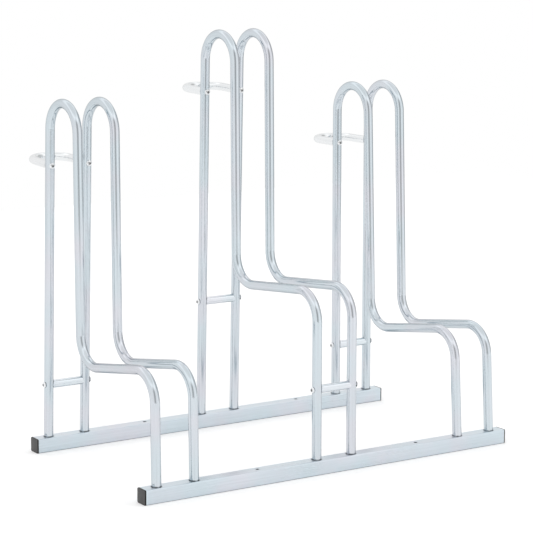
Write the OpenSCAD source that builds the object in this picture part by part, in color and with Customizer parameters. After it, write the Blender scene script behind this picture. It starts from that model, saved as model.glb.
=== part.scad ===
// Floor rack for three cycles: two square base bars carry six bent round tubes in three pairs.
// A wheel stands between the two tubes of a pair. The middle pair holds its wheel higher.
// X runs along the bars, +Y points to the rear bar, +Z is up, and the floor is Z = 0.
// The solids are drawn with Y = 0 midway between the bars, then moved to the middle of the whole depth.

/* [Base bars] */
// how far each base bar reaches past the outermost tubes' centre lines, without its end caps
bar_overhang = 25.5; // [24.5:0.5:80]
// height and depth of the square bar
bar_size = 25; // [24:0.5:32]
// wall of the square bar
bar_wall = 2; // [1.6:0.1:3]
// outer corner radius of the square bar
bar_corner = 2.5; // [2:0.1:4]
// distance between the centre lines of the two bars
bar_spacing = 366; // [340:1:440]
// place of the left anchor holes along the bars
anchor_left_x = -146; // [-200:1:-100]
// place of the right anchor holes along the bars
anchor_right_x = 177; // [100:1:200]
// anchor hole in both walls of a bar
anchor_hole_d = 6.5; // [5:0.5:10]

/* [Places] */
// distance from one wheel place to the next
place_pitch = 302; // [260:1:400]
// how far the middle place stands to the right of the centre
middle_shift = 6; // [-10:1:20]
// distance between the two tubes of a pair
pair_spacing = 70; // [62:1:90]

/* [Bent tubes] */
// outside diameter of the bent tubes
tube_d = 16; // [14:0.5:18]
// wall of the bent tubes
tube_wall = 1.5; // [1:0.1:2]
// centre-line radius of the bends
bend_r = 48; // [44:1:52]
// overall height of the left and right places
low_height = 613; // [570:1:680]
// overall height of the middle place
high_height = 717; // [690:1:800]
// height of the centre of the first run bend on the left and right places
low_dip_height = 227; // [215:1:240]
// height of the centre of the second run bend on the left and right places
low_knee_height = 155.5; // [145:0.5:165]
// height of the centre of the first run bend on the middle place
high_dip_height = 335; // [322:1:350]
// height of the centre of the second run bend on the middle place
high_knee_height = 255; // [245:1:265]

/* [Stance] */
// how far the top bend's centre lies in front of the rear bar, left place
left_top_front = 65; // [51:0.5:73]
// how far the top bend's centre lies in front of the rear bar, middle place
middle_top_front = 59.5; // [51:0.5:71]
// how far the top bend's centre lies in front of the rear bar, right place
right_top_front = 41.5; // [37:0.5:46]
// how far the first run bend's centre lies in front of the top bend's, left place
left_dip_front = 102; // [94:0.5:110]
// how far the first run bend's centre lies in front of the top bend's, middle place
middle_dip_front = 103.5; // [95:0.5:111]
// how far the first run bend's centre lies in front of the top bend's, right place
right_dip_front = 112.5; // [105:0.5:121]
// how far the second run bend's centre lies behind the front bar, left place
left_knee_back = 51.5; // [49:0.5:61]
// how far the second run bend's centre lies behind the front bar, middle place
middle_knee_back = 50.5; // [49:0.5:61]
// how far the second run bend's centre lies behind the front bar, right place
right_knee_back = 58; // [52:0.5:67]

/* [Cross tubes and hoops] */
// outside diameter of the cross tubes and hoops
cross_d = 14; // [12.5:0.5:15]
// wall of the cross tubes and hoops
cross_wall = 1.5; // [1:0.1:1.7]
// height of the rear cross tube on the left and right places
low_cross_height = 117; // [100:1:150]
// height of the rear cross tube on the middle place
high_cross_height = 231; // [200:1:260]
// height of the front cross tube on the middle place
front_cross_height = 143.5; // [120:0.5:160]
// distance from the top of the left and right places down to their hoops
low_hoop_drop = 116; // [80:1:160]
// distance from the top of the middle place down to its hoop
high_hoop_drop = 111.5; // [80:0.5:160]
// how far a hoop reaches behind the centre line of its uprights
hoop_reach = 95; // [85:1:120]
// how much larger than the upright's radius the hollow cut in a tube end is
cope_extra = 1.2; // [0.5:0.1:4]

/* [Screws and plugs] */
// thread diameter of the cross tube and hoop screws
screw_d = 6; // [5:0.5:6]
// length of those screws under the head
screw_length = 30; // [27:1:34]
// diameter of the domed screw heads
head_d = 10.5; // [9:0.5:12]
// height of the domed screw heads
head_h = 3.3; // [2.8:0.1:4]
// size across the flats of the key sockets in the domed heads
key_size = 4; // [3:0.5:4.5]
// thread diameter of the screws that hold the feet from below
foot_screw_d = 5; // [4:0.5:5]
// length of the foot screws with their heads
foot_screw_length = 16; // [12:1:20]
// length of the threaded plugs
plug_length = 14; // [12:1:16]

/* [End caps] */
// thickness of the cap flange that covers a bar end
cap_flange = 2.5; // [2:0.1:4]
// length of the hollow tongue inside the bar
cap_tongue = 14; // [10:1:16]
// wall of the tongue
cap_wall = 1.8; // [1.5:0.1:2.5]

/* [Fits] */
// gap left between round faces that face each other
round_gap = 0.3; // [0.2:0.05:0.4]
// gap round a foot in the top wall of its bar
foot_gap = 0.5; // [0.3:0.1:0.8]
// gap between a plug and its tube, and between a plug and its screw
plug_gap = 0.2; // [0.15:0.05:0.25]

/* [Hidden] */
$fn = 72;

// margin by which a cutting body runs past the faces it cuts
over = 1;
tube_r = tube_d / 2;
tube_bore_r = tube_r - tube_wall;
cross_r = cross_d / 2;
cross_bore_r = cross_r - cross_wall;
half_pair = pair_spacing / 2;
bar_length = 2 * (place_pitch + half_pair + bar_overhang);
rear_y = bar_spacing / 2;
front_y = -bar_spacing / 2;
// distance from an upright's centre line to a screw head or to the bottom of an end cut
seat = tube_r + round_gap;
cope_r = tube_r + cope_extra;
// the plugs sit this deep inside the deepest point of the end cuts
plug_setback = 1.2;
plug_start = seat + plug_setback;
plug_r = cross_bore_r - plug_gap;
foot_plug_r = tube_bore_r - plug_gap;
screw_hole_r = screw_d / 2 + round_gap;
screw_bore_r = screw_d / 2 + plug_gap;
// straight rim under the dome of a screw head
rim_h = 0.8;
// depth of a key socket as a share of the head's height
socket_share = 0.6;
foot_key_size = 0.6 * foot_screw_d;
chamfer = 0.5;
bar_bore = bar_size - 2 * bar_wall;
// the wall of a bend is this much thinner on both faces than that of a straight,
// and the straights lap this far into the bends
bend_thinning = 0.05;
lap = 0.5;
hoop_centre = hoop_reach - half_pair - cross_r;

// One record per place: its X, the centres [y, z] of the top bend and of the two run bends,
// and the heights of the rear cross tube and the hoop.
top_drop = bend_r + tube_r;
left_top_y = rear_y - left_top_front;
middle_top_y = rear_y - middle_top_front;
right_top_y = rear_y - right_top_front;
left_place = [-place_pitch,
    [left_top_y, low_height - top_drop], [left_top_y - left_dip_front, low_dip_height],
    [front_y + left_knee_back, low_knee_height], low_cross_height, low_height - low_hoop_drop];
middle_place = [middle_shift,
    [middle_top_y, high_height - top_drop], [middle_top_y - middle_dip_front, high_dip_height],
    [front_y + middle_knee_back, high_knee_height], high_cross_height, high_height - high_hoop_drop];
right_place = [place_pitch,
    [right_top_y, low_height - top_drop], [right_top_y - right_dip_front, low_dip_height],
    [front_y + right_knee_back, low_knee_height], low_cross_height, low_height - low_hoop_drop];
places = [left_place, middle_place, right_place];
function place_x(place) = place[0];
function top_centre(place) = place[1];
function dip_centre(place) = place[2];
function knee_centre(place) = place[3];
function cross_z(place) = place[4];
function hoop_z(place) = place[5];

// A tube's centre line lies in a plane of constant X. It is a chain of circles [y, z, radius, side] joined by
// common tangents, from the rear foot over the top bend and the two run bends to the front foot.
// side is 1 where the line turns left round its circle, -1 where it turns right.
// A foot is a circle of no size.
function chain(place) = [
    [rear_y, bar_size, 0, 1],
    [each top_centre(place), bend_r, 1],
    [each dip_centre(place), bend_r, -1],
    [each knee_centre(place), bend_r, 1],
    [front_y, bar_size, 0, 1]];

// heading of the tangent from circle a to circle b, in degrees from +Y towards +Z
function heading(a, b) = atan2(b[1] - a[1], b[0] - a[0])
    - asin((b[3] * b[2] - a[3] * a[2]) / norm([b[0] - a[0], b[1] - a[1]]));
// point where a line with that heading touches circle c
function touch(c, head) = [c[0] + c[3] * c[2] * sin(head), c[1] - c[3] * c[2] * cos(head)];
// headings of the four straights of a chain
function headings(c) = [for (i = [0 : len(c) - 2]) heading(c[i], c[i + 1])];
function turn(from, to, side) = side > 0 ? (to - from + 720) % 360 : -((from - to + 720) % 360);

// Two of the four straights stand on the bars: the rear upright and the front leg.
REAR = 0;
FRONT = 3;
// point at height z on straight i of a chain
function on_line(c, i, z) = let (h = headings(c)[i], p = touch(c[i], h)) [p[0] + (z - p[1]) / tan(h), z];
function line_y(place, leg, z) = on_line(chain(place), leg, z)[0];
function lean(place, leg) = headings(chain(place))[leg] + (leg == REAR ? -90 : 90);

// the rack reaches from the front bar or a second run bend to the furthest hoop
function hoop_end(place) = line_y(place, REAR, hoop_z(place))
    + (hoop_reach - cross_r) * cos(lean(place, REAR)) + cross_r;
rear_end = max([for (place = places) hoop_end(place)]);
front_end = min(front_y - bar_size / 2, min([for (place = places) knee_centre(place)[0]]) - bend_r - tube_r);

// moves the middle of the rack's depth to Y = 0
module centred() {
    translate([0, -(rear_end + front_end) / 2, 0])
        children();
}

module ring(outer_r, inner_r) {
    difference() {
        circle(r = outer_r);
        circle(r = inner_r);
    }
}

// straight length of tube in the YZ plane
module straight(from, to) {
    head = atan2(to[1] - from[1], to[0] - from[0]);
    translate([0, from[0], from[1]])
        rotate([head - 90, 0, 0])
            translate([0, 0, -lap])
                linear_extrude(norm(to - from) + 2 * lap)
                    ring(tube_r, tube_bore_r);
}

// bent length of tube in the YZ plane, round circle c
module bend(c, from, to) {
    sweep = turn(from, to, c[3]);
    start = from - 90 * c[3];
    translate([0, c[0], c[1]])
        rotate([90, 0, 90])
            rotate([0, 0, min(start, start + sweep)])
                rotate_extrude(angle = abs(sweep))
                    translate([c[2], 0])
                        ring(tube_r - bend_thinning, tube_bore_r + bend_thinning);
}

// whole bent tube of a place in the plane X = 0, its two ends cut level on the bottom wall of the bars
module tube_run(place) {
    c = chain(place);
    h = headings(c);
    difference() {
        union() {
            straight(on_line(c, REAR, 0), touch(c[1], h[REAR]));
            for (i = [1 : 3])
                bend(c[i], h[i - 1], h[i]);
            for (i = [1 : 2])
                straight(touch(c[i], h[i]), touch(c[i + 1], h[i]));
            straight(touch(c[3], h[FRONT]), on_line(c, FRONT, 0));
        }
        below_feet();
    }
}

// everything lower than the upper face of the bars' bottom wall, round the plane X = 0
module below_feet() {
    translate([-tube_d, -bar_spacing, -bar_size])
        cube([2 * tube_d, 2 * bar_spacing, bar_size + bar_wall]);
}

// frame on the centre line between the rear uprights or the front legs of a place, Z along the tubes
module leg_frame(place, leg, z) {
    translate([place_x(place), line_y(place, leg, z), z])
        rotate([lean(place, leg), 0, 0])
            children();
}

// frame of every cross tube in turn
module cross_frames() {
    for (place = places)
        leg_frame(place, REAR, cross_z(place))
            children();
    leg_frame(middle_place, FRONT, front_cross_height)
        children();
}

// screw hole along X through an upright and its pair
module cross_holes() {
    rotate([0, 90, 0])
        cylinder(r = screw_hole_r, h = pair_spacing + tube_d + 2 * over, center = true);
}

// screw holes along Y through both uprights
module hoop_holes() {
    for (side = [-1, 1])
        translate([side * half_pair, 0, 0])
            rotate([90, 0, 0])
                cylinder(r = screw_hole_r, h = tube_d + 2 * over, center = true);
}

// side is -1 for the left tube of the pair and 1 for the right one
module bent_tube(place, side, has_front_cross) {
    difference() {
        translate([place_x(place) + side * half_pair, 0, 0])
            tube_run(place);
        leg_frame(place, REAR, cross_z(place))
            cross_holes();
        leg_frame(place, REAR, hoop_z(place))
            hoop_holes();
        if (has_front_cross)
            leg_frame(place, FRONT, front_cross_height)
                cross_holes();
    }
}

module rounded_square(size, corner) {
    inner = size - 2 * corner;
    union() {
        square([size, inner], center = true);
        square([inner, size], center = true);
        for (x = [-1, 1], y = [-1, 1])
            translate([x * inner / 2, y * inner / 2])
                circle(r = corner);
    }
}

// places a child upright on the floor under each of the six feet of one bar
module at_feet(leg) {
    for (place = places, side = [-1, 1])
        translate([place_x(place) + side * half_pair, line_y(place, leg, bar_wall), 0])
            children();
}

module base_bar(leg) {
    y = leg == REAR ? rear_y : front_y;
    difference() {
        translate([0, y, bar_size / 2])
            rotate([90, 0, 90])
                linear_extrude(bar_length, center = true)
                    difference() {
                        rounded_square(bar_size, bar_corner);
                        rounded_square(bar_bore, bar_corner - bar_wall / 2);
                    }
        for (place = places, side = [-1, 1])
            translate([place_x(place) + side * half_pair, y, 0])
                foot_hole();
        at_feet(leg)
            foot_screw_hole();
        for (x = [anchor_left_x, anchor_right_x])
            translate([x, y, -over])
                cylinder(d = anchor_hole_d, h = bar_size + 2 * over);
    }
}

// chamfered hole for a foot in the top wall of a bar
module foot_hole() {
    hole_r = tube_r + foot_gap;
    translate([0, 0, bar_size / 2])
        cylinder(r = hole_r, h = bar_size / 2 + over);
    translate([0, 0, bar_size - chamfer])
        cylinder(r1 = hole_r, r2 = hole_r + chamfer, h = chamfer);
}

// countersunk hole for a foot screw in the bottom wall of a bar
module foot_screw_hole() {
    hole_r = foot_screw_d / 2 + plug_gap;
    translate([0, 0, -over])
        cylinder(r = hole_r, h = bar_wall + 2 * over);
    cylinder(r1 = hole_r + bar_wall, r2 = hole_r, h = bar_wall);
}

// end cap in its own frame: the flange lies on X = 0 and the tongue points to -X
module end_cap() {
    fin_w = 1.2;
    tongue = bar_bore - 2 * plug_gap;
    rotate([90, 0, 90])
        union() {
            linear_extrude(cap_flange - chamfer)
                rounded_square(bar_size, bar_corner);
            translate([0, 0, cap_flange - chamfer])
                linear_extrude(chamfer)
                    rounded_square(bar_size - 2 * chamfer, bar_corner);
            translate([0, 0, -cap_tongue])
                linear_extrude(cap_tongue)
                    difference() {
                        square(tongue, center = true);
                        square(tongue - 2 * cap_wall, center = true);
                    }
            for (turns = [0 : 3], shift = [-1, 1])
                rotate([0, 0, 90 * turns])
                    translate([shift * tongue / 4 - fin_w / 2, tongue / 2 - cap_wall / 2, -cap_tongue / 2])
                        cube([fin_w, plug_gap + cap_wall / 2, cap_tongue / 2]);
        }
}

// cap at one bar end: y picks the bar, side is -1 for the left end and 1 for the right one
module placed_cap(y, side) {
    translate([side * bar_length / 2, y, bar_size / 2])
        rotate([0, 0, side > 0 ? 0 : 180])
            end_cap();
}

// cutting body that gives a tube end its hollow cut round an upright standing at the origin,
// for a tube that leaves the upright along +X
module cope_cut() {
    translate([seat - cope_r, 0, 0])
        cylinder(r = cope_r, h = 2 * cross_d, center = true);
}

// cross tube in the frame of its place, fitted between the two tubes of a pair
module cross_tube() {
    difference() {
        rotate([0, 90, 0])
            linear_extrude(pair_spacing - tube_r, center = true)
                ring(cross_r, cross_bore_r);
        for (side = [-1, 1])
            translate([side * half_pair, 0, 0])
                rotate([0, 0, side > 0 ? 180 : 0])
                    cope_cut();
    }
}

module cross_tube_at(place, leg, z) {
    centred()
        leg_frame(place, leg, z)
            cross_tube();
}

// U-shaped hoop in the frame of its place, closed end towards +Y
module hoop() {
    leg_start = tube_r / 2;
    difference() {
        union() {
            for (side = [-1, 1])
                translate([side * half_pair, leg_start, 0])
                    rotate([-90, 0, 0])
                        linear_extrude(hoop_centre - leg_start)
                            ring(cross_r, cross_bore_r);
            translate([0, hoop_centre, 0])
                rotate_extrude(angle = 180)
                    translate([half_pair, 0])
                        ring(cross_r, cross_bore_r);
        }
        for (side = [-1, 1])
            translate([side * half_pair, 0, 0])
                rotate([0, 0, 90])
                    cope_cut();
    }
}

module hoop_at(place) {
    centred()
        leg_frame(place, REAR, hoop_z(place))
            hoop();
}

// domed screw with its axis along Z, the underside of the head at Z = 0 and the shank towards +Z
module domed_screw() {
    dome_h = head_h - rim_h;
    dome_r = (head_d * head_d / 4 + dome_h * dome_h) / (2 * dome_h);
    difference() {
        union() {
            translate([0, 0, -rim_h])
                cylinder(d = head_d, h = rim_h);
            translate([0, 0, -rim_h])
                intersection() {
                    translate([0, 0, dome_r - dome_h])
                        sphere(r = dome_r);
                    translate([0, 0, -dome_h])
                        cylinder(d = head_d, h = dome_h);
                }
            cylinder(d = screw_d, h = screw_length - chamfer);
            translate([0, 0, screw_length - chamfer])
                cylinder(d1 = screw_d, d2 = screw_d - 2 * chamfer, h = chamfer);
        }
        translate([0, 0, -head_h - over])
            cylinder(d = key_size / cos(30), h = socket_share * head_h + over, $fn = 6);
    }
}

// threaded plug with its axis along Z, starting at Z = 0
module plug() {
    difference() {
        union() {
            cylinder(r1 = plug_r - chamfer, r2 = plug_r, h = chamfer);
            translate([0, 0, chamfer])
                cylinder(r = plug_r, h = plug_length - chamfer);
        }
        translate([0, 0, -over])
            cylinder(r = screw_bore_r, h = plug_length + 2 * over);
    }
}

// places a child that points along +Z at both ends of a cross tube, pointing inwards
module at_cross_ends(distance) {
    for (side = [-1, 1])
        translate([side * (half_pair - distance), 0, 0])
            rotate([0, -90 * side, 0])
                children();
}

// places a child that points along +Z on both uprights of a hoop, pointing to the rear
module at_hoop_ends(distance) {
    for (side = [-1, 1])
        translate([side * half_pair, distance, 0])
            rotate([-90, 0, 0])
                children();
}

// countersunk screw that holds a foot from below, head flush with the floor side of the bar
module foot_screw() {
    difference() {
        union() {
            cylinder(d1 = foot_screw_d + 2 * bar_wall, d2 = foot_screw_d, h = bar_wall);
            translate([0, 0, bar_wall])
                cylinder(d = foot_screw_d, h = foot_screw_length - bar_wall);
        }
        translate([0, 0, -over])
            cylinder(d = foot_key_size / cos(30), h = socket_share * bar_wall + over, $fn = 6);
    }
}

// threaded plug in a foot: it leans with the tube, its screw stands upright
module foot_plug(place, leg, side) {
    difference() {
        leg_frame(place, leg, bar_wall)
            translate([side * half_pair, 0, -over])
                cylinder(r = foot_plug_r, h = plug_length + over);
        translate([place_x(place) + side * half_pair, 0, 0])
            below_feet();
        translate([place_x(place) + side * half_pair, line_y(place, leg, bar_wall), 0])
            cylinder(r = foot_screw_d / 2 + plug_gap, h = bar_wall + plug_length + over);
    }
}

module rear_bar() { color("lightsteelblue") centred() base_bar(REAR); }
module front_bar() { color("lightsteelblue") centred() base_bar(FRONT); }

module cap_rear_left() { color("black") centred() placed_cap(rear_y, -1); }
module cap_rear_right() { color("black") centred() placed_cap(rear_y, 1); }
module cap_front_left() { color("black") centred() placed_cap(front_y, -1); }
module cap_front_right() { color("black") centred() placed_cap(front_y, 1); }

module left_tube_a() { color("silver") centred() bent_tube(left_place, -1, false); }
module left_tube_b() { color("silver") centred() bent_tube(left_place, 1, false); }
module middle_tube_a() { color("silver") centred() bent_tube(middle_place, -1, true); }
module middle_tube_b() { color("silver") centred() bent_tube(middle_place, 1, true); }
module right_tube_a() { color("silver") centred() bent_tube(right_place, -1, false); }
module right_tube_b() { color("silver") centred() bent_tube(right_place, 1, false); }

module left_cross_tube() { color("gainsboro") cross_tube_at(left_place, REAR, cross_z(left_place)); }
module middle_cross_tube() { color("gainsboro") cross_tube_at(middle_place, REAR, cross_z(middle_place)); }
module right_cross_tube() { color("gainsboro") cross_tube_at(right_place, REAR, cross_z(right_place)); }
module front_cross_tube() { color("gainsboro") cross_tube_at(middle_place, FRONT, front_cross_height); }

module left_hoop() { color("white") hoop_at(left_place); }
module middle_hoop() { color("white") hoop_at(middle_place); }
module right_hoop() { color("white") hoop_at(right_place); }

module cross_screws() {
    color("slategray")
        centred()
            cross_frames()
                at_cross_ends(-seat)
                    domed_screw();
}

module hoop_screws() {
    color("slategray")
        centred()
            for (place = places)
                leg_frame(place, REAR, hoop_z(place))
                    at_hoop_ends(-seat)
                        domed_screw();
}

module cross_plugs() {
    color("goldenrod")
        centred()
            cross_frames()
                at_cross_ends(plug_start)
                    plug();
}

module hoop_plugs() {
    color("goldenrod")
        centred()
            for (place = places)
                leg_frame(place, REAR, hoop_z(place))
                    at_hoop_ends(plug_start)
                        plug();
}

module foot_screws() {
    color("slategray")
        centred()
            for (leg = [REAR, FRONT])
                at_feet(leg)
                    foot_screw();
}

module foot_plugs() {
    color("goldenrod")
        centred()
            for (place = places, leg = [REAR, FRONT], side = [-1, 1])
                foot_plug(place, leg, side);
}

rear_bar();
front_bar();
cap_rear_left();
cap_rear_right();
cap_front_left();
cap_front_right();
left_tube_a();
left_tube_b();
middle_tube_a();
middle_tube_b();
right_tube_a();
right_tube_b();
left_cross_tube();
middle_cross_tube();
right_cross_tube();
front_cross_tube();
left_hoop();
middle_hoop();
right_hoop();
cross_screws();
hoop_screws();
cross_plugs();
hoop_plugs();
foot_screws();
foot_plugs();
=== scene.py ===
"""Looks of the floor rack for three cycles: zinc plated bent tubes in pairs on two square bars."""
import math

import bmesh
import bpy
from mathutils import Matrix, Vector


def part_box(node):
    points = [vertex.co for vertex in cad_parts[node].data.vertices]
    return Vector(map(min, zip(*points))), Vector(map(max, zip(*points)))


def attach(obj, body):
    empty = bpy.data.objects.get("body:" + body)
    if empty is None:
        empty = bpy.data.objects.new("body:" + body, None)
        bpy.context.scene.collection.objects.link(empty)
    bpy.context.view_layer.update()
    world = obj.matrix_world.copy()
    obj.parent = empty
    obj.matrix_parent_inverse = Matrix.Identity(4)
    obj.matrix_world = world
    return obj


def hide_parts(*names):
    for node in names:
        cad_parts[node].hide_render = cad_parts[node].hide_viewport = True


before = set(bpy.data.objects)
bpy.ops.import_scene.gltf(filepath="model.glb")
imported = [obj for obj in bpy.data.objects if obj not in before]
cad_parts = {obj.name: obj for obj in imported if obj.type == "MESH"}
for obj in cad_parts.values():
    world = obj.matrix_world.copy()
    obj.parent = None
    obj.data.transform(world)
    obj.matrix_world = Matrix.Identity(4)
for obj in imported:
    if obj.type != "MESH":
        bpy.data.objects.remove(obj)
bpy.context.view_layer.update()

# Sizes are in millimetres and the same as the solids'. Y = 0 is midway between the bars until a piece is
# finished.
MM = 0.001

# square bars
BAR_SIZE = 25.0
BAR_WALL = 2.0
BAR_CORNER = 2.5
BAR_SPACING = 366.0

# bent tubes, cross tubes and hoops
TUBE_R = 8.0
TUBE_WALL = 1.5
BEND_R = 48.0
CROSS_R = 7.0
CROSS_WALL = 1.5
PAIR_SPACING = 70.0
# from the uprights' centre line to the back of the hoop
HOOP_REACH = 95.0
# room between an upright and a tube end, and how much wider than the upright the end's hollow cut is
ROUND_GAP = 0.3
COPE_EXTRA = 1.2

# domed screws; the lip is a flat ring round the key socket
SCREW_D = 6.0
SCREW_LENGTH = 30.0
TIP_CHAMFER = 0.5
HEAD_D = 10.5
HEAD_H = 3.3
HEAD_RIM = 0.8
RIM_CHAMFER = 0.12
KEY_SIZE = 4.0
KEY_DEPTH = 2.0
KEY_LIP = 0.35
KEY_CHAMFER = 0.15

# end caps; a fin starts a little inside the tongue
CAP_FLANGE = 2.5
CAP_TONGUE = 14.0
CAP_WALL = 1.8
CAP_GAP = 0.2
CAP_ROUNDING = 0.9
FIN_WIDTH = 1.2
FIN_SINK = 0.3

HALF_PAIR = PAIR_SPACING / 2
SEAT = TUBE_R + ROUND_GAP
COPE_R = TUBE_R + COPE_EXTRA
REAR_Y = BAR_SPACING / 2
FRONT_Y = -BAR_SPACING / 2

# Each place: its X, the centres (y, z) of its top bend and of its two run bends, and the heights of its
# cross tubes and hoop.
PLACES = {
    "left": {"x": -302.0, "top": (118.0, 557.0), "dip": (16.0, 227.0), "knee": (-131.5, 155.5),
             "cross": 117.0, "hoop": 497.0},
    "middle": {"x": 6.0, "top": (123.5, 661.0), "dip": (20.0, 335.0), "knee": (-132.5, 255.0),
               "cross": 231.0, "hoop": 605.5, "front_cross": 143.5},
    "right": {"x": 302.0, "top": (141.5, 557.0), "dip": (29.0, 227.0), "knee": (-125.0, 155.5),
              "cross": 117.0, "hoop": 497.0},
}

# how finely the pieces are divided
TUBE_SEGMENTS = 48
STRAIGHT_STEP = 30.0
BEND_STEP = math.radians(3)
HEAD_SEGMENTS = 24
DOME_STEPS = 8
CORNER_SEGMENTS = 6
ROUNDING_SEGMENTS = 4
# share of a bend over which its polish starts, and again ends
BEND_FADE = 1 / 6
# angles in degrees past which an edge stays sharp
SHARP_ANGLE = 35
BAR_SHARP_ANGLE = 30
# a vertex this close to a plane lies on it, and vertices of a solid this close in metres are one
TOUCH = 0.01
MERGE_DISTANCE = 1e-6

TO_METRES = Matrix.Scale(MM, 4)


def middle(node):
    """Middle of a solid's box, in metres."""
    low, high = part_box(node)
    return (low + high) / 2


# the bars' middle and the caps' outer faces in the frame, in metres
BARS_MIDDLE = Vector((0, (middle("rear_bar").y + middle("front_bar").y) / 2, 0))
CAP_FACE_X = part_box("cap_front_right")[1].x


# The line of a bent tube.

def chain(place):
    """Circles (y, z, radius, side) that the tube's centre line joins, from the rear to the front foot."""
    return [(REAR_Y, BAR_SIZE, 0.0, 1),
            (*place["top"], BEND_R, 1),
            (*place["dip"], BEND_R, -1),
            (*place["knee"], BEND_R, 1),
            (FRONT_Y, BAR_SIZE, 0.0, 1)]


def heading(start, end):
    """Heading of the tangent from one circle to the next, from +Y towards +Z."""
    along = Vector((end[0] - start[0], end[1] - start[1]))
    offset = end[3] * end[2] - start[3] * start[2]
    return math.atan2(along.y, along.x) - math.asin(offset / along.length)


def headings(place):
    """Headings of the four straights of a place's tubes."""
    circles = chain(place)
    return [heading(circles[i], circles[i + 1]) for i in range(4)]


def touch(circle, head):
    """Point (y, z) where a tangent with that heading meets a circle."""
    reach = circle[3] * circle[2]
    return Vector((circle[0] + reach * math.sin(head), circle[1] - reach * math.cos(head)))


def leg_frame(place, foot_y, lean, height):
    """Frame midway between two legs at a height, Z along them; a positive lean is towards -Y."""
    y = foot_y - (height - BAR_SIZE) * math.tan(lean)
    return Matrix.Translation((place["x"], y, height)) @ Matrix.Rotation(lean, 4, "X")


def upright_frame(place, height):
    """Frame midway between the rear uprights of a place."""
    return leg_frame(place, REAR_Y, headings(place)[0] - math.pi / 2, height)


def front_leg_frame(place, height):
    """Frame midway between the front legs of a place."""
    return leg_frame(place, FRONT_Y, headings(place)[3] + math.pi / 2, height)


# Pieces from tubes.

def straight(length):
    """Steps along a ring's own Z: the move, its length and how fully it is bent."""
    count = max(1, round(length / STRAIGHT_STEP))
    return [(Matrix.Translation((0, 0, length / count)), length / count, 0.0)] * count


def bend(angle, radius):
    """Steps round a bend in a ring's own YZ plane; a positive angle turns towards -Y."""
    count = round(abs(angle) / BEND_STEP)
    centre = Matrix.Translation((0, -math.copysign(radius, angle), 0))
    step = centre @ Matrix.Rotation(angle / count, 4, "X") @ centre.inverted()
    fade = count * BEND_FADE
    return [(step, abs(angle) * radius / count, min(1.0, (i + 1) / fade, (count - i - 1) / fade))
            for i in range(count)]


def extrude_ring(bm, ring):
    """Extrudes a ring of edges in place, and returns the new ring's vertices and edges."""
    grown = bmesh.ops.extrude_edge_only(bm, edges=ring)["geom"]
    verts = [g for g in grown if isinstance(g, bmesh.types.BMVert)]
    edges = [g for g in grown if isinstance(g, bmesh.types.BMEdge) and g.is_boundary]
    return verts, edges


def tube_skin(bm, start, steps, radius):
    """Skin of a round tube: a circle that is extruded step by step. Returns its first and last rings.

    Every vertex keeps where it lies: "run" holds its two offsets from the centre line and the length along
    it, in metres, and "bend" is 1 within a bend and 0 on a straight.
    """
    run = bm.verts.layers.float_vector.new("run")
    bent = bm.verts.layers.float.new("bend")

    def mark(verts, at, along, amount):
        back = at.inverted()
        for v in verts:
            local = back @ v.co
            v[run] = Vector((local.x, local.y, along)) * MM
            v[bent] = amount

    circle = bmesh.ops.create_circle(bm, segments=TUBE_SEGMENTS, radius=radius, matrix=start)["verts"]
    ring = list({e for v in circle for e in v.link_edges})
    first = circle
    at = start.copy()
    along = 0.0
    mark(circle, at, along, 0.0)
    for step, length, amount in steps:
        circle, ring = extrude_ring(bm, ring)
        moved = at @ step
        bmesh.ops.transform(bm, matrix=moved @ at.inverted(), verts=circle)
        at = moved
        along += length
        mark(circle, at, along, amount)
    return (first, start), (circle, at)


def cope(end, outwards):
    """Gives a tube end its hollow cut round an upright; outwards is -1 at the first ring, 1 at the last."""
    verts, at = end
    back = at.inverted()
    for v in verts:
        local = back @ v.co
        local.z = outwards * (COPE_R - math.sqrt(COPE_R ** 2 - local.y ** 2))
        v.co = at @ local


def add_object(bm, name):
    """Turns a bmesh into an object of the scene."""
    mesh = bpy.data.meshes.new(name)
    bm.to_mesh(mesh)
    bm.free()
    made = bpy.data.objects.new(name, mesh)
    bpy.context.scene.collection.objects.link(made)
    return made


def stand_for(piece, node):
    """Makes a piece stand for a solid on the rack's one body."""
    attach(piece, "root")
    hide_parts(node)


def sharpen(piece, degrees):
    """Keeps the edges of a smooth piece sharp where its faces meet at more than an angle."""
    bm = bmesh.new()
    bm.from_mesh(piece.data)
    for edge in bm.edges:
        edge.smooth = len(edge.link_faces) == 2 and edge.calc_face_angle() < math.radians(degrees)
    bm.to_mesh(piece.data)
    bm.free()


def finish_piece(bm, name, node, wall=0.0):
    """Turns a mesh in millimetres into a smooth piece in the frame that stands for a solid."""
    bmesh.ops.recalc_face_normals(bm, faces=bm.faces)
    for edge in bm.edges:
        edge.smooth = not edge.is_boundary
    for face in bm.faces:
        face.smooth = True
    bmesh.ops.transform(bm, matrix=Matrix.Translation(BARS_MIDDLE) @ TO_METRES, verts=bm.verts)
    piece = add_object(bm, name)
    if wall:
        solidify = piece.modifiers.new("wall", "SOLIDIFY")
        solidify.thickness = wall * MM
        solidify.offset = -1
    stand_for(piece, node)
    return piece


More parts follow.
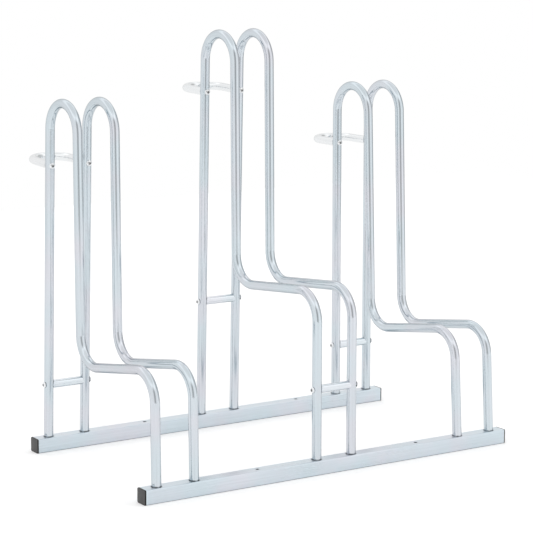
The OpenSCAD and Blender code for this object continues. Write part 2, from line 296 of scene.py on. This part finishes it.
def bent_tube(name, place, side):
    """One bent tube of a pair, its two feet cut level on the bottom wall of the bars."""
    circles = chain(place)
    heads = headings(place)
    start = Matrix.Translation((side * HALF_PAIR, 0, 0)) @ upright_frame(place, 0)
    here = Vector((start.translation.y, 0.0))
    steps = []
    for i in (1, 2, 3):
        steps += straight((touch(circles[i], heads[i - 1]) - here).length)
        turn = (circles[i][3] * (heads[i] - heads[i - 1])) % (2 * math.pi)
        steps += bend(circles[i][3] * turn, BEND_R)
        here = touch(circles[i], heads[i])
    steps += straight(here.y / abs(math.sin(heads[3])))
    bm = bmesh.new()
    tube_skin(bm, start, steps, TUBE_R)
    bmesh.ops.bisect_plane(bm, geom=bm.verts[:] + bm.edges[:] + bm.faces[:], plane_co=(0, 0, BAR_WALL),
                           plane_no=(0, 0, -1), clear_outer=True)
    return finish_piece(bm, name + "_tube", name, TUBE_WALL)


def coped_tube(name, start, steps):
    """Tube with a hollow cut in both ends."""
    bm = bmesh.new()
    first, last = tube_skin(bm, start, steps, CROSS_R)
    cope(first, -1)
    cope(last, 1)
    return finish_piece(bm, name + "_piece", name, CROSS_WALL)


def cross_tube(name, at):
    """Short tube between the two uprights or legs of a pair, from left to right."""
    length = PAIR_SPACING - 2 * SEAT
    across = Matrix.Translation((-length / 2, 0, 0)) @ Matrix.Rotation(math.pi / 2, 4, "Y")
    return coped_tube(name, at @ across, straight(length))


def hoop(name, at):
    """U-shaped hoop behind a pair of uprights: its rings start with Z to the rear and Y to the right."""
    backwards = Matrix(((0, 1, 0, -HALF_PAIR), (0, 0, 1, SEAT), (1, 0, 0, 0), (0, 0, 0, 1)))
    leg = HOOP_REACH - HALF_PAIR - CROSS_R - SEAT
    steps = straight(leg) + bend(-math.pi, HALF_PAIR) + straight(leg)
    return coped_tube(name, at @ backwards, steps)


# Screws.

def ring_of(bm, segments, radius, z):
    """Edges of a new circle round the Z axis."""
    verts = bmesh.ops.create_circle(bm, segments=segments, radius=radius,
                                    matrix=Matrix.Translation((0, 0, z)))["verts"]
    return list({e for v in verts for e in v.link_edges})


def lathe(bm, ring, profile):
    """Extrudes a ring round the Z axis through the (radius, z) pairs of a profile. Returns the last ring."""
    for radius, z in profile:
        verts, ring = extrude_ring(bm, ring)
        for v in verts:
            flat = Vector((v.co.x, v.co.y))
            flat *= radius / flat.length
            v.co = Vector((flat.x, flat.y, z))
    return ring


def domed_screw(bm, at, in_socket):
    """Domed screw with a hexagonal key socket: the underside of its head at Z = 0, its shank towards +Z."""
    before = set(bm.verts)
    dome_h = HEAD_H - HEAD_RIM
    dome_r = (HEAD_D ** 2 / 4 + dome_h ** 2) / (2 * dome_h)

    def dome_z(radius):
        return -HEAD_H + dome_r - math.sqrt(dome_r ** 2 - radius ** 2)

    corner = KEY_SIZE / math.sqrt(3)
    socket = ring_of(bm, 6, corner, dome_z(corner) + KEY_DEPTH)
    bmesh.ops.contextual_create(bm, geom=socket)
    mouth = lathe(bm, socket, [(corner, dome_z(corner) + KEY_CHAMFER)])
    for v in set(bm.verts) - before:
        v[in_socket] = 1.0
    lip = corner + KEY_LIP
    collar = ring_of(bm, HEAD_SEGMENTS, lip, dome_z(lip))
    bmesh.ops.bridge_loops(bm, edges=mouth + collar)
    head_r = HEAD_D / 2
    shank_r = SCREW_D / 2
    radii = [lip + (head_r - RIM_CHAMFER - lip) * i / DOME_STEPS for i in range(1, DOME_STEPS + 1)]
    outline = [(radius, dome_z(radius)) for radius in radii]
    outline += [(head_r, -HEAD_RIM + RIM_CHAMFER), (head_r, -RIM_CHAMFER), (head_r - RIM_CHAMFER, 0.0)]
    outline += [(shank_r, 0.0), (shank_r, SCREW_LENGTH - TIP_CHAMFER), (shank_r - TIP_CHAMFER, SCREW_LENGTH)]
    tip = lathe(bm, collar, outline)
    bmesh.ops.contextual_create(bm, geom=tip)
    bmesh.ops.transform(bm, matrix=at, verts=list(set(bm.verts) - before))


def screws(name, frames):
    """A group of domed screws; "socket" is 1 on the vertices of their key sockets."""
    bm = bmesh.new()
    in_socket = bm.verts.layers.float.new("socket")
    for at in frames:
        domed_screw(bm, at, in_socket)
    piece = finish_piece(bm, name + "_heads", name)
    sharpen(piece, SHARP_ANGLE)
    return piece


def cross_frames():
    """Frames of the four cross tubes."""
    frames = {name + "_cross_tube": upright_frame(place, place["cross"]) for name, place in PLACES.items()}
    frames["front_cross_tube"] = front_leg_frame(PLACES["middle"], PLACES["middle"]["front_cross"])
    return frames


def hoop_frames():
    """Frames of the three hoops."""
    return {name + "_hoop": upright_frame(place, place["hoop"]) for name, place in PLACES.items()}


def cross_screw_frames():
    """Frames of the eight cross tube screws: on the outer side of each upright, pointing inwards."""
    reach = HALF_PAIR + SEAT
    return [at @ Matrix.Translation((side * reach, 0, 0)) @ Matrix.Rotation(-side * math.pi / 2, 4, "Y")
            for at in cross_frames().values() for side in (-1, 1)]


def hoop_screw_frames():
    """Frames of the six hoop screws: in front of each upright, pointing to the rear."""
    return [at @ Matrix.Translation((side * HALF_PAIR, -SEAT, 0)) @ Matrix.Rotation(-math.pi / 2, 4, "X")
            for at in hoop_frames().values() for side in (-1, 1)]


# End caps and bars.

def cap_flange(bm):
    """Square flange with rounded corners and a rounded rim, from X = 0 outwards. Returns its inner face."""
    bmesh.ops.create_cube(bm, size=1)
    bmesh.ops.scale(bm, vec=(CAP_FLANGE, BAR_SIZE, BAR_SIZE), verts=bm.verts)
    bmesh.ops.translate(bm, vec=(CAP_FLANGE / 2, 0, 0), verts=bm.verts)
    corners = [e for e in bm.edges if abs((e.verts[0].co - e.verts[1].co).x) > CAP_FLANGE / 2]
    bmesh.ops.bevel(bm, geom=corners, affect="EDGES", offset=BAR_CORNER, segments=CORNER_SEGMENTS,
                    profile=0.5, material=-1)
    rim = [e for e in bm.edges if all(v.co.x > CAP_FLANGE - TOUCH for v in e.verts)]
    bmesh.ops.bevel(bm, geom=rim, affect="EDGES", offset=CAP_ROUNDING, segments=ROUNDING_SEGMENTS,
                    profile=0.5, material=-1)
    return [f for f in bm.faces if all(v.co.x < TOUCH for v in f.verts)]


def cap_tongue(bm, back):
    """Hollow tongue that goes into the bar from the flange's inner face."""
    bmesh.ops.inset_individual(bm, faces=back, thickness=BAR_WALL + CAP_GAP, use_even_offset=True)
    end = bmesh.ops.extrude_discrete_faces(bm, faces=back)["faces"]
    bmesh.ops.translate(bm, vec=(-CAP_TONGUE, 0, 0), verts=end[0].verts)
    bmesh.ops.inset_individual(bm, faces=end, thickness=CAP_WALL, use_even_offset=True)
    hollow_floor = bmesh.ops.extrude_discrete_faces(bm, faces=end)["faces"]
    bmesh.ops.translate(bm, vec=(CAP_TONGUE, 0, 0), verts=hollow_floor[0].verts)


def cap_fins(bm):
    """Two fins on each side of the tongue, which touch the bar's bore."""
    tongue = BAR_SIZE - 2 * BAR_WALL - 2 * CAP_GAP
    size = Matrix.Diagonal((CAP_TONGUE / 2, FIN_WIDTH, CAP_GAP + FIN_SINK, 1))
    for quarter in range(4):
        turn = Matrix.Rotation(quarter * math.pi / 2, 4, "X")
        for shift in (-1, 1):
            at = Matrix.Translation((-CAP_TONGUE / 4, shift * tongue / 4, (tongue + CAP_GAP - FIN_SINK) / 2))
            bmesh.ops.create_cube(bm, size=1, matrix=turn @ at @ size)


def end_cap(bar, side):
    """Square end cap of the rear or front bar; side is -1 for its left end and 1 for its right end."""
    node = "cap_" + bar + ("_left" if side < 0 else "_right")
    bm = bmesh.new()
    cap_tongue(bm, cap_flange(bm))
    cap_fins(bm)
    low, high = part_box(node)
    end_x = (low.x if side < 0 else high.x) / MM - side * CAP_FLANGE
    y = REAR_Y if bar == "rear" else FRONT_Y
    turned = Matrix.Rotation(math.pi if side < 0 else 0, 4, "Z")
    bmesh.ops.transform(bm, matrix=Matrix.Translation((end_x, y, BAR_SIZE / 2)) @ turned, verts=bm.verts)
    piece = finish_piece(bm, node + "_cover", node)
    sharpen(piece, SHARP_ANGLE)
    return piece


def smooth_copy(node, degrees):
    """Merged copy of a solid's mesh with soft shading on its roundings, which stands for the solid."""
    bm = bmesh.new()
    bm.from_mesh(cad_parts[node].data)
    bmesh.ops.remove_doubles(bm, verts=bm.verts, dist=MERGE_DISTANCE)
    for face in bm.faces:
        face.smooth = True
    piece = add_object(bm, node + "_skin")
    sharpen(piece, degrees)
    weighted = piece.modifiers.new("flat faces stay flat", "WEIGHTED_NORMAL")
    weighted.keep_sharp = True
    stand_for(piece, node)
    return piece


# Materials.

class Shade:
    """A socket in a material's nodes. Arithmetic on it adds Math nodes."""

    def __init__(self, tree, socket=None):
        self.tree = tree
        self.socket = socket

    def node(self, kind, settings, inputs, output=0):
        """Adds a node: its settings go first, then the values or links of its sockets."""
        made = self.tree.nodes.new(kind)
        for key, value in settings.items():
            setattr(made, key, value)
        for key, value in inputs.items():
            if isinstance(value, Shade):
                self.tree.links.new(value.socket, made.inputs[key])
            else:
                made.inputs[key].default_value = value
        return Shade(self.tree, made.outputs[output] if made.outputs else None)

    def math(self, operation, *values):
        """Adds a Math node on some values."""
        return self.node("ShaderNodeMath", {"operation": operation}, dict(enumerate(values)))

    def __add__(self, other):
        return self.math("ADD", self, other)

    def __sub__(self, other):
        return self.math("SUBTRACT", self, other)

    def __rsub__(self, other):
        return self.math("SUBTRACT", other, self)

    def __mul__(self, other):
        return self.math("MULTIPLY", self, other)

    def __abs__(self):
        return self.math("ABSOLUTE", self)

    __radd__ = __add__
    __rmul__ = __mul__

    def root(self):
        """Square root of this number."""
        return self.math("SQRT", self)

    def between(self, low, high):
        """0 below low, 1 above high, and smooth in between."""
        return self.node("ShaderNodeMapRange", {"interpolation_type": "SMOOTHSTEP"},
                         {"Value": self, "From Min": low, "From Max": high})

    def blend(self, first, second):
        """Colour that goes from first to second as this value goes from 0 to 1."""
        return self.node("ShaderNodeMix", {"data_type": "RGBA"}, {0: self, 6: first, 7: second}, output=2)

    def noise(self, size, detail=2.0, roughness=0.5):
        """Noise with marks of about that size in millimetres, read at this vector."""
        scale = 1 / (size * MM)
        return self.node("ShaderNodeTexNoise", {},
                         {"Vector": self, "Scale": scale, "Detail": detail, "Roughness": roughness})

    def stretched(self, x, y, z):
        """This vector with its axes scaled."""
        return self.node("ShaderNodeVectorMath", {"operation": "MULTIPLY"}, {0: self, 1: (x, y, z)})

    def scaled(self, amount):
        """This vector or colour, times a value."""
        return self.node("ShaderNodeVectorMath", {"operation": "SCALE"}, {0: self, "Scale": amount})

    def parts(self):
        """The three numbers of this vector."""
        split = self.node("ShaderNodeSeparateXYZ", {}, {0: self})
        outputs = split.socket.node.outputs
        return [Shade(self.tree, outputs[i]) for i in range(3)]


def new_material(name):
    """An empty node material and its Principled shader."""
    material = bpy.data.materials.new(name)
    material.use_nodes = True
    material.node_tree.nodes.clear()
    shade = Shade(material.node_tree)
    shader = shade.node("ShaderNodeBsdfPrincipled", {}, {})
    shade.node("ShaderNodeOutputMaterial", {}, {"Surface": shader})
    return material, shade, shader.socket.node


def feed(shader, **inputs):
    """Sets or links a shader's sockets, an underscore standing for a space in their names."""
    for key, value in inputs.items():
        socket = shader.inputs[key.replace("_", " ")]
        if isinstance(value, Shade):
            value.tree.links.new(value.socket, socket)
        else:
            socket.default_value = value


def object_point(shade):
    """Where a point of the rack lies, in metres."""
    return shade.node("ShaderNodeTexCoord", {}, {}, output="Object")


def kept(shade, name, output="Fac"):
    """What the piece's vertices keep under a name."""
    return shade.node("ShaderNodeAttribute", {"attribute_name": name}, {}, output=output)


def bump(shade, height, strength, depth):
    """Normal of a surface with fine relief, its depth in millimetres."""
    return shade.node("ShaderNodeBump", {}, {"Strength": strength, "Distance": depth * MM, "Height": height})


def grey(tone):
    """Colour without a cast."""
    return (tone, tone, tone, 1)


# casts: what they add to red, green and blue, as shares of the tone
SEA_BLUE = (-1.5, 0.1, 1.1)
LILAC = (-0.5, -0.2, 0.9)
COLD = (-1.0, 0.0, 1.0)


def tinted(tone, cast, strength):
    """Colour of a tone with a cast of some strength."""
    return (*(tone * (1 + strength * share) for share in cast), 1)


# painted shade round each foot, where the joint lies in shade: its radius, the width of its fading edge, and
# the heights above the bar to which it is full and at which it ends
FOOT_SHADE_R = 9.0
FOOT_SHADE_EDGE = 1.5
FOOT_SHADE_FULL = 0.8
FOOT_SHADE_END = 2.6
FOOT_SHADE_DEPTH = 0.62
# painted shade along the bars' lower edge, where they meet the floor: heights up to which it is full and at
# which it ends
LOW_SHADE_FULL = 0.3
LOW_SHADE_END = 2.2
LOW_SHADE_DEPTH = 0.45
# sizes of the marks on the zinc
DRIFT_SIZE = 150
CAST_SIZE = 80
BLOTCH_SIZE = 5
COARSE_LINE_SIZE = 2.2
FINE_LINE_SIZE = 0.7
CRYSTAL_SIZE = 1.2
# times that a drawing streak is longer than it is wide
STREAK_LENGTH = 60


def foot_shade_ring(point):
    """Up to 1 in a narrow blotchy ring of painted shade on the bars round each foot and low on the feet, and
    0 elsewhere.
    """
    x, y, z = point.parts()
    ring = 0.0
    for place in PLACES.values():
        across = abs(x - place["x"] * MM) - HALF_PAIR * MM
        for bar_y in (REAR_Y, FRONT_Y):
            along = y - (bar_y * MM + BARS_MIDDLE.y)
            distance = (across * across + along * along).root()
            ring = 1 - distance.between(FOOT_SHADE_R * MM, (FOOT_SHADE_R + FOOT_SHADE_EDGE) * MM) + ring
    low = 1 - z.between((BAR_SIZE + FOOT_SHADE_FULL) * MM, (BAR_SIZE + FOOT_SHADE_END) * MM)
    blotches = point.noise(BLOTCH_SIZE, 1.0).between(0.30, 0.62)
    return ring * low * (0.35 + blotches * 0.65)


def low_edge_shade(point):
    """1 along the lower edge of the bars, painted in shade where they meet the floor, and 0 above it."""
    height = point.parts()[2]
    return 1 - height.between(LOW_SHADE_FULL * MM, LOW_SHADE_END * MM)


def zinc(name, tone, tint, roughness, edge, swept=True):
    """Zinc plated drawn steel.

    Tone is its reflectance, tint the strength of its cast and edge how bright it stays where it is seen edge
    on. Its drawing streaks run along a swept tube, by what its vertices keep, and otherwise along X. Cloudy
    drifts of the plating lie over them, from sea blue to lilac. Bends are a little glossier.
    """
    material, shade, shader = new_material(name)
    point = object_point(shade)
    if swept:
        lines = kept(shade, "run", "Vector").stretched(1, 1, 1 / STREAK_LENGTH)
        bent = kept(shade, "bend")
    else:
        lines = point.stretched(1 / STREAK_LENGTH, 1, 1)
        bent = 0.0
    drift = point.noise(DRIFT_SIZE, 3.0) - 0.5
    cast = point.noise(CAST_SIZE, 2.0).between(0.36, 0.74)
    coarse_lines = lines.noise(COARSE_LINE_SIZE, 2.0, 0.6) - 0.5
    fine_lines = lines.noise(FINE_LINE_SIZE, 1.0) - 0.5
    crystals = point.noise(CRYSTAL_SIZE, 2.0, 0.6) - 0.5
    change = 1 + drift * 0.14 + coarse_lines * 0.20 + crystals * 0.02
    # painted shade: darker in a ring round each foot, and along the bars' lower edge where they meet the
    # floor
    change = change * (1 - foot_shade_ring(point) * FOOT_SHADE_DEPTH) * (1 - low_edge_shade(point) * LOW_SHADE_DEPTH)
    colour = cast.blend(tinted(tone, SEA_BLUE, tint), tinted(tone, LILAC, tint)).scaled(change)
    gloss = roughness + drift * 0.12 + coarse_lines * 0.14 - bent * 0.04
    relief = fine_lines * 0.4 + crystals * 0.1 + coarse_lines * 0.6
    feed(shader, Base_Color=colour, Metallic=1.0, Roughness=gloss, Specular_Tint=grey(edge),
         Normal=bump(shade, relief, 0.18, 0.05))
    return material


# depths below a cap's outer face at which its painted lit grey starts to turn to the painted shaded black,
# and is black
CAP_GREY_DEPTH = 0.1
CAP_BLACK_DEPTH = 0.6
# sizes of the marks on the plastic
GRAIN_SIZE = 0.6
CLOUD_SIZE = 12
SCUFF_SIZE = 3


def black_plastic(name):
    """Moulded black plastic with a fine grain and scuffs, its outer face painted a lit grey and its rim a
    shaded deep black.
    """
    material, shade, shader = new_material(name)
    point = object_point(shade)
    grain = point.noise(GRAIN_SIZE, 2.0, 0.6)
    cloud = point.noise(CLOUD_SIZE, 3.0)
    scuffs = point.noise(SCUFF_SIZE, 4.0, 0.7).between(0.6, 0.8)
    # painted light and shade: the outer face is painted a lit grey, the rim a shaded black
    depth = CAP_FACE_X - abs(point.parts()[0])
    face = 1 - depth.between(CAP_GREY_DEPTH * MM, CAP_BLACK_DEPTH * MM)
    lit_grey_and_scuffs = (cloud * 0.5 + scuffs * 0.5).blend(grey(0.068), grey(0.102))
    gloss = 0.36 + (cloud - 0.5) * 0.15 + scuffs * 0.1
    feed(shader, Base_Color=face.blend(grey(0.005), lit_grey_and_scuffs), Roughness=gloss, Specular_IOR_Level=0.22,
         Normal=bump(shade, grain, 0.4, 0.08))
    return material


# sizes of the turning marks and of the oil film on the steel
MARK_SIZE = 0.5
FILM_SIZE = 4


def plain_steel(name, tone, roughness):
    """Turned steel with fine marks and a light oil film, dull in the key sockets and painted dark there as
    shade.
    """
    material, shade, shader = new_material(name)
    point = object_point(shade)
    marks = point.noise(MARK_SIZE, 2.0, 0.7)
    film = point.noise(FILM_SIZE, 2.0)
    socket = kept(shade, "socket")
    open_colour = film.blend(tinted(tone * 0.92, COLD, 0.01), tinted(tone * 1.05, COLD, 0.02))
    gloss = roughness + (film - 0.5) * 0.2 + socket * 0.4
    # the key sockets are painted darker, as shade in the recess
    feed(shader, Base_Color=socket.blend(open_colour, grey(tone * 0.60)), Metallic=1.0, Roughness=gloss,
         Normal=bump(shade, marks, 0.3, 0.03))
    return material


def dress(piece, material):
    """Gives a piece or a solid one material."""
    piece.data.materials.clear()
    piece.data.materials.append(material)


# The rack.

tube_zinc = zinc("zinc_tube", tone=0.655, tint=0.062, roughness=0.15, edge=0.67)
cross_zinc = zinc("zinc_cross", tone=0.735, tint=0.050, roughness=0.17, edge=0.72)
# the hoops' zinc is painted paler than the tubes', for the brighter light that they catch
lit_hoop_zinc = zinc("zinc_hoop", tone=0.795, tint=0.014, roughness=0.14, edge=0.86)
bar_zinc = zinc("zinc_bar", tone=0.68, tint=0.072, roughness=0.30, edge=0.95, swept=False)
screw_zinc = plain_steel("zinc_screw", tone=0.82, roughness=0.20)
plug_steel = plain_steel("plain_steel", tone=0.42, roughness=0.40)
cap_black = black_plastic("black_plastic")

for name, place in PLACES.items():
    dress(bent_tube(name + "_tube_a", place, -1), tube_zinc)
    dress(bent_tube(name + "_tube_b", place, 1), tube_zinc)
for name, at in cross_frames().items():
    dress(cross_tube(name, at), cross_zinc)
for name, at in hoop_frames().items():
    dress(hoop(name, at), lit_hoop_zinc)
dress(screws("cross_screws", cross_screw_frames()), screw_zinc)
dress(screws("hoop_screws", hoop_screw_frames()), screw_zinc)
for side in (-1, 1):
    for bar in ("rear", "front"):
        dress(end_cap(bar, side), cap_black)
for node in ("rear_bar", "front_bar"):
    dress(smooth_copy(node, BAR_SHARP_ANGLE), bar_zinc)
# the hidden fasteners keep the solids' own meshes
for node in ("cross_plugs", "hoop_plugs", "foot_plugs"):
    dress(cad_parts[node], plug_steel)
dress(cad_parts["foot_screws"], screw_zinc)


# Floor, light and camera, in metres and watts.

FLOOR_HALF = 2.6
FLOOR_TONE = 0.90
# light of its own that the floor adds where it is seen, directly, through glass or in metal
FLOOR_GLOW = 0.21
# strength at which the white surroundings light dull surfaces
WORLD_FILL = 0.75

# What metal shows round it: the tone of the studio's walls, and how the tone changes in a greyer band above
# them, in a bright ceiling and, from there, straight overhead. Each zone fades in between two heights on a
# unit sphere.
WALL_TONE = 0.97
BAND_CHANGE = -0.03
CEILING_CHANGE = 0.31
OVERHEAD_CHANGE = -0.28
BAND_HEIGHTS = (0.12, 0.40)
CEILING_HEIGHTS = (0.50, 0.75)
OVERHEAD_HEIGHTS = (0.75, 0.92)
# upright screens on the walls: azimuth and half width in degrees, and how they change the tone
SCREENS = {"bright, left": (-168.0, 30.0, 0.14),
           "bright, front right": (-62.0, 24.0, 0.18),
           "dark, front": (-109.0, 17.0, -0.41),
           "dark, right": (0.0, 18.0, -0.33),
           "bright, rear left": (120.0, 24.0, 0.11),
           "bright, rear right": (60.0, 34.0, 0.09)}
# heights between which the screens end at the top
SCREEN_TOPS = (0.60, 0.85)
# a screen is full up to this share of its half width and gone past the other
SCREEN_FULL = 0.6
SCREEN_END = 1.5

# softboxes: each one's place and power
RACK_MIDDLE = (0, 0, 0.35)
SOFTBOX_SIZE = 2.6
SOFTBOXES = {"key": ((-2.4, -2.2, 3.0), 36), "fill": ((3.0, -1.8, 2.2), 24), "back": ((0.5, 3.0, 2.6), 24)}

# the camera's place and angles, solved from points of the photograph
CAMERA_PLACE = (-1.9999, -3.0615, 0.9727)
CAMERA_YAW = math.radians(33.393)
CAMERA_PITCH = math.radians(10.237)
CAMERA_ROLL = math.radians(0.451)
# focal length and sensor width in millimetres
CAMERA_LENS = 145.01
CAMERA_SENSOR = 36.0


def rays(shade):
    """Two factors: 1 for rays that are seen directly or through glass, and 1 for rays that metal shows."""
    seen = shade.node("ShaderNodeLightPath", {}, {}, output="Is Camera Ray")
    outputs = seen.socket.node.outputs
    through = Shade(shade.tree, outputs["Is Transmission Ray"])
    return seen.math("MAXIMUM", seen, through), Shade(shade.tree, outputs["Is Glossy Ray"])


def direction(azimuth):
    """Level direction of an azimuth in degrees, from +X towards +Y."""
    return (math.cos(math.radians(azimuth)), math.sin(math.radians(azimuth)), 0)


def studio_tone(shade):
    """Brightness of the studio in each direction."""
    towards = shade.node("ShaderNodeTexCoord", {}, {}, output="Generated")
    height = towards.parts()[2]
    tone = WALL_TONE + height.between(*BAND_HEIGHTS) * BAND_CHANGE
    tone = tone + height.between(*CEILING_HEIGHTS) * (CEILING_CHANGE - BAND_CHANGE)
    tone = tone + height.between(*OVERHEAD_HEIGHTS) * OVERHEAD_CHANGE
    level = towards.node("ShaderNodeVectorMath", {"operation": "NORMALIZE"}, {0: towards.stretched(1, 1, 0)})
    below_top = 1 - height.between(*SCREEN_TOPS)
    for azimuth, half_width, change in SCREENS.values():
        facing = level.node("ShaderNodeVectorMath", {"operation": "DOT_PRODUCT"},
                            {0: level, 1: direction(azimuth)}, output="Value")
        inside = facing.between(math.cos(math.radians(half_width * SCREEN_END)),
                                math.cos(math.radians(half_width * SCREEN_FULL)))
        tone = inside * below_top * change + tone
    return tone


def lay_floor():
    """White floor that keeps the rack's shadow."""
    bm = bmesh.new()
    bmesh.ops.create_grid(bm, x_segments=1, y_segments=1, size=FLOOR_HALF)
    floor = add_object(bm, "floor")
    material, shade, shader = new_material("floor_white")
    seen, in_metal = rays(shade)
    glow = seen + in_metal
    feed(shader, Base_Color=grey(FLOOR_TONE), Roughness=0.9, Specular_IOR_Level=0.1,
         Emission_Color=glow.blend(grey(0.0), grey(FLOOR_GLOW)), Emission_Strength=1.0)
    floor.data.materials.append(material)


def light_world():
    """Surroundings: white where they are seen, the studio in metal, and an even fill on dull surfaces."""
    world = bpy.data.worlds.new("white_studio")
    bpy.context.scene.world = world
    world.use_nodes = True
    world.node_tree.nodes.clear()
    shade = Shade(world.node_tree)
    seen, in_metal = rays(shade)
    strength = WORLD_FILL + seen * (1 - WORLD_FILL) + in_metal * (studio_tone(shade) - WORLD_FILL)
    background = shade.node("ShaderNodeBackground", {}, {"Color": grey(1.0), "Strength": strength})
    shade.node("ShaderNodeOutputWorld", {}, {"Surface": background})


def softbox(name, at, power):
    """Square area light that looks at the rack's middle; metal shows the studio instead of it."""
    lamp = bpy.data.lights.new(name, "AREA")
    lamp.shape = "SQUARE"
    lamp.size = SOFTBOX_SIZE
    lamp.energy = power
    made = bpy.data.objects.new(name, lamp)
    made.location = at
    made.rotation_euler = (Vector(RACK_MIDDLE) - Vector(at)).to_track_quat("-Z", "Y").to_euler()
    made.visible_glossy = False
    bpy.context.scene.collection.objects.link(made)


def place_camera():
    """Camera at the photographed angle: yaw from +Y towards +X, pitch down, then a slight roll."""
    data = bpy.data.cameras.new("camera")
    data.lens = CAMERA_LENS
    data.sensor_width = CAMERA_SENSOR
    camera = bpy.data.objects.new("camera", data)
    bpy.context.scene.collection.objects.link(camera)
    level = Matrix.Rotation(-CAMERA_YAW, 4, "Z") @ Matrix.Rotation(math.pi / 2 - CAMERA_PITCH, 4, "X")
    camera.matrix_world = Matrix.Translation(CAMERA_PLACE) @ level @ Matrix.Rotation(CAMERA_ROLL, 4, "Z")
    bpy.context.scene.camera = camera


lay_floor()
light_world()
for name, (at, power) in SOFTBOXES.items():
    softbox(name, at, power)
place_camera()
bpy.context.scene.view_settings.view_transform = "Standard"
